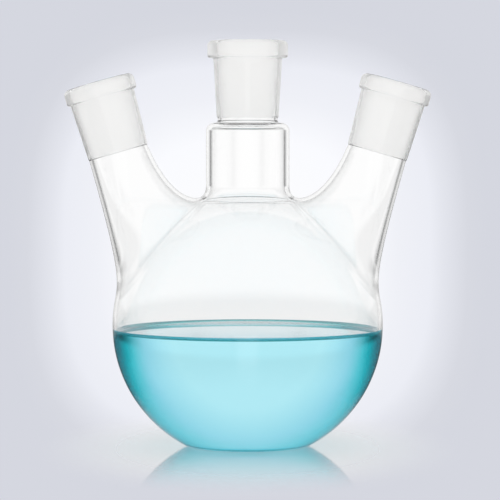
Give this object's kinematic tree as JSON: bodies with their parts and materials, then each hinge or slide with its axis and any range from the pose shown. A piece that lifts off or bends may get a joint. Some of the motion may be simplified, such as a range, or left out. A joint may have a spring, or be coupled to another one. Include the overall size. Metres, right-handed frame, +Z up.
{
  "type": "three neck flask",
  "caption": "Round glass flask with a flat foot, an upright centre neck, two tilted side necks with tapered ground sockets, and liquid standing in its lower half.",
  "frame": {"origin": "on the bench at the middle of the foot ring, on the centre neck's axis", "axes": "+Z up along the centre neck, X through both side necks, Y from front to back"},
  "size_m": [0.142, 0.105, 0.1573],
  "materials": {
    "clear_glass": "polished",
    "blue_liquid": "gloss"
  },
  "bodies": {
    "root": {"flask": "clear_glass", "liquid": "blue_liquid"}
  },
  "joints": []
}
